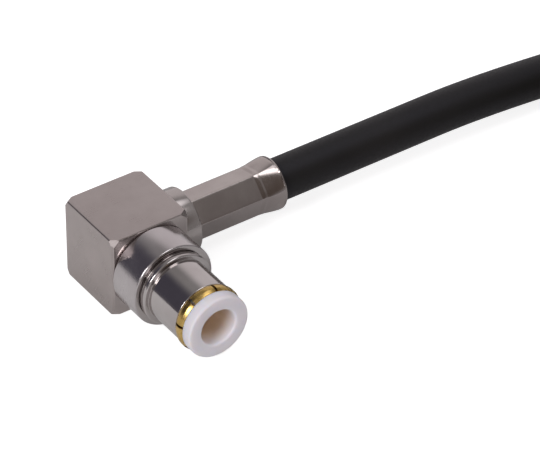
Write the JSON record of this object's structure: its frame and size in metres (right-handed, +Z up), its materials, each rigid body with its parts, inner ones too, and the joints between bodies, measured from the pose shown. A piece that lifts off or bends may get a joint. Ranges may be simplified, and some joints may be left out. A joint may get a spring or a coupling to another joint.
{
  "type": "right-angle coaxial cable plug",
  "caption": "Right-angle coaxial cable plug with a snap-in nose, white plastic insulator and crimp ferrule, on a black coaxial cable pigtail.",
  "frame": {"origin": "centre of the block's underside, below the point where the cable's axis and the nose's axis cross", "axes": "+X is the way the cable leaves, -Y is the way the nose plugs in, +Z is up"},
  "size_m": [0.1306, 0.0629, 0.0165],
  "materials": {
    "block_plate": "satin nickel-type plate on milled brass",
    "bright_plate": "polished white-bronze plate on turned brass",
    "gold_plate": "gold plate on spring bronze",
    "white_plastic": "smooth white PTFE, a little waxy",
    "cable_insulation": "milky polyethylene",
    "tinned_braid": "tinned copper wire, woven",
    "bare_wire": "silvered copper wire",
    "solder_tin": "dull solder",
    "black_jacket": "matt black cable jacket"
  },
  "bodies": {
    "root": {"body_block": "block_plate", "nose_barrel": "bright_plate", "spring_sleeve": "gold_plate", "front_insulator": "white_plastic", "centre_contact": "gold_plate", "rear_insulator": "white_plastic", "back_cap": "block_plate", "cap_insulator": "white_plastic", "crimp_stem": "bright_plate", "crimp_ferrule": "bright_plate", "solder_joint": "solder_tin", "cable_conductor": "bare_wire", "cable_dielectric": "cable_insulation", "cable_inner_braid": "tinned_braid", "cable_outer_braid": "tinned_braid", "cable_jacket_end": "black_jacket", "cable_lead": "black_jacket", "cable_coil": "black_jacket"}
  },
  "joints": []
}
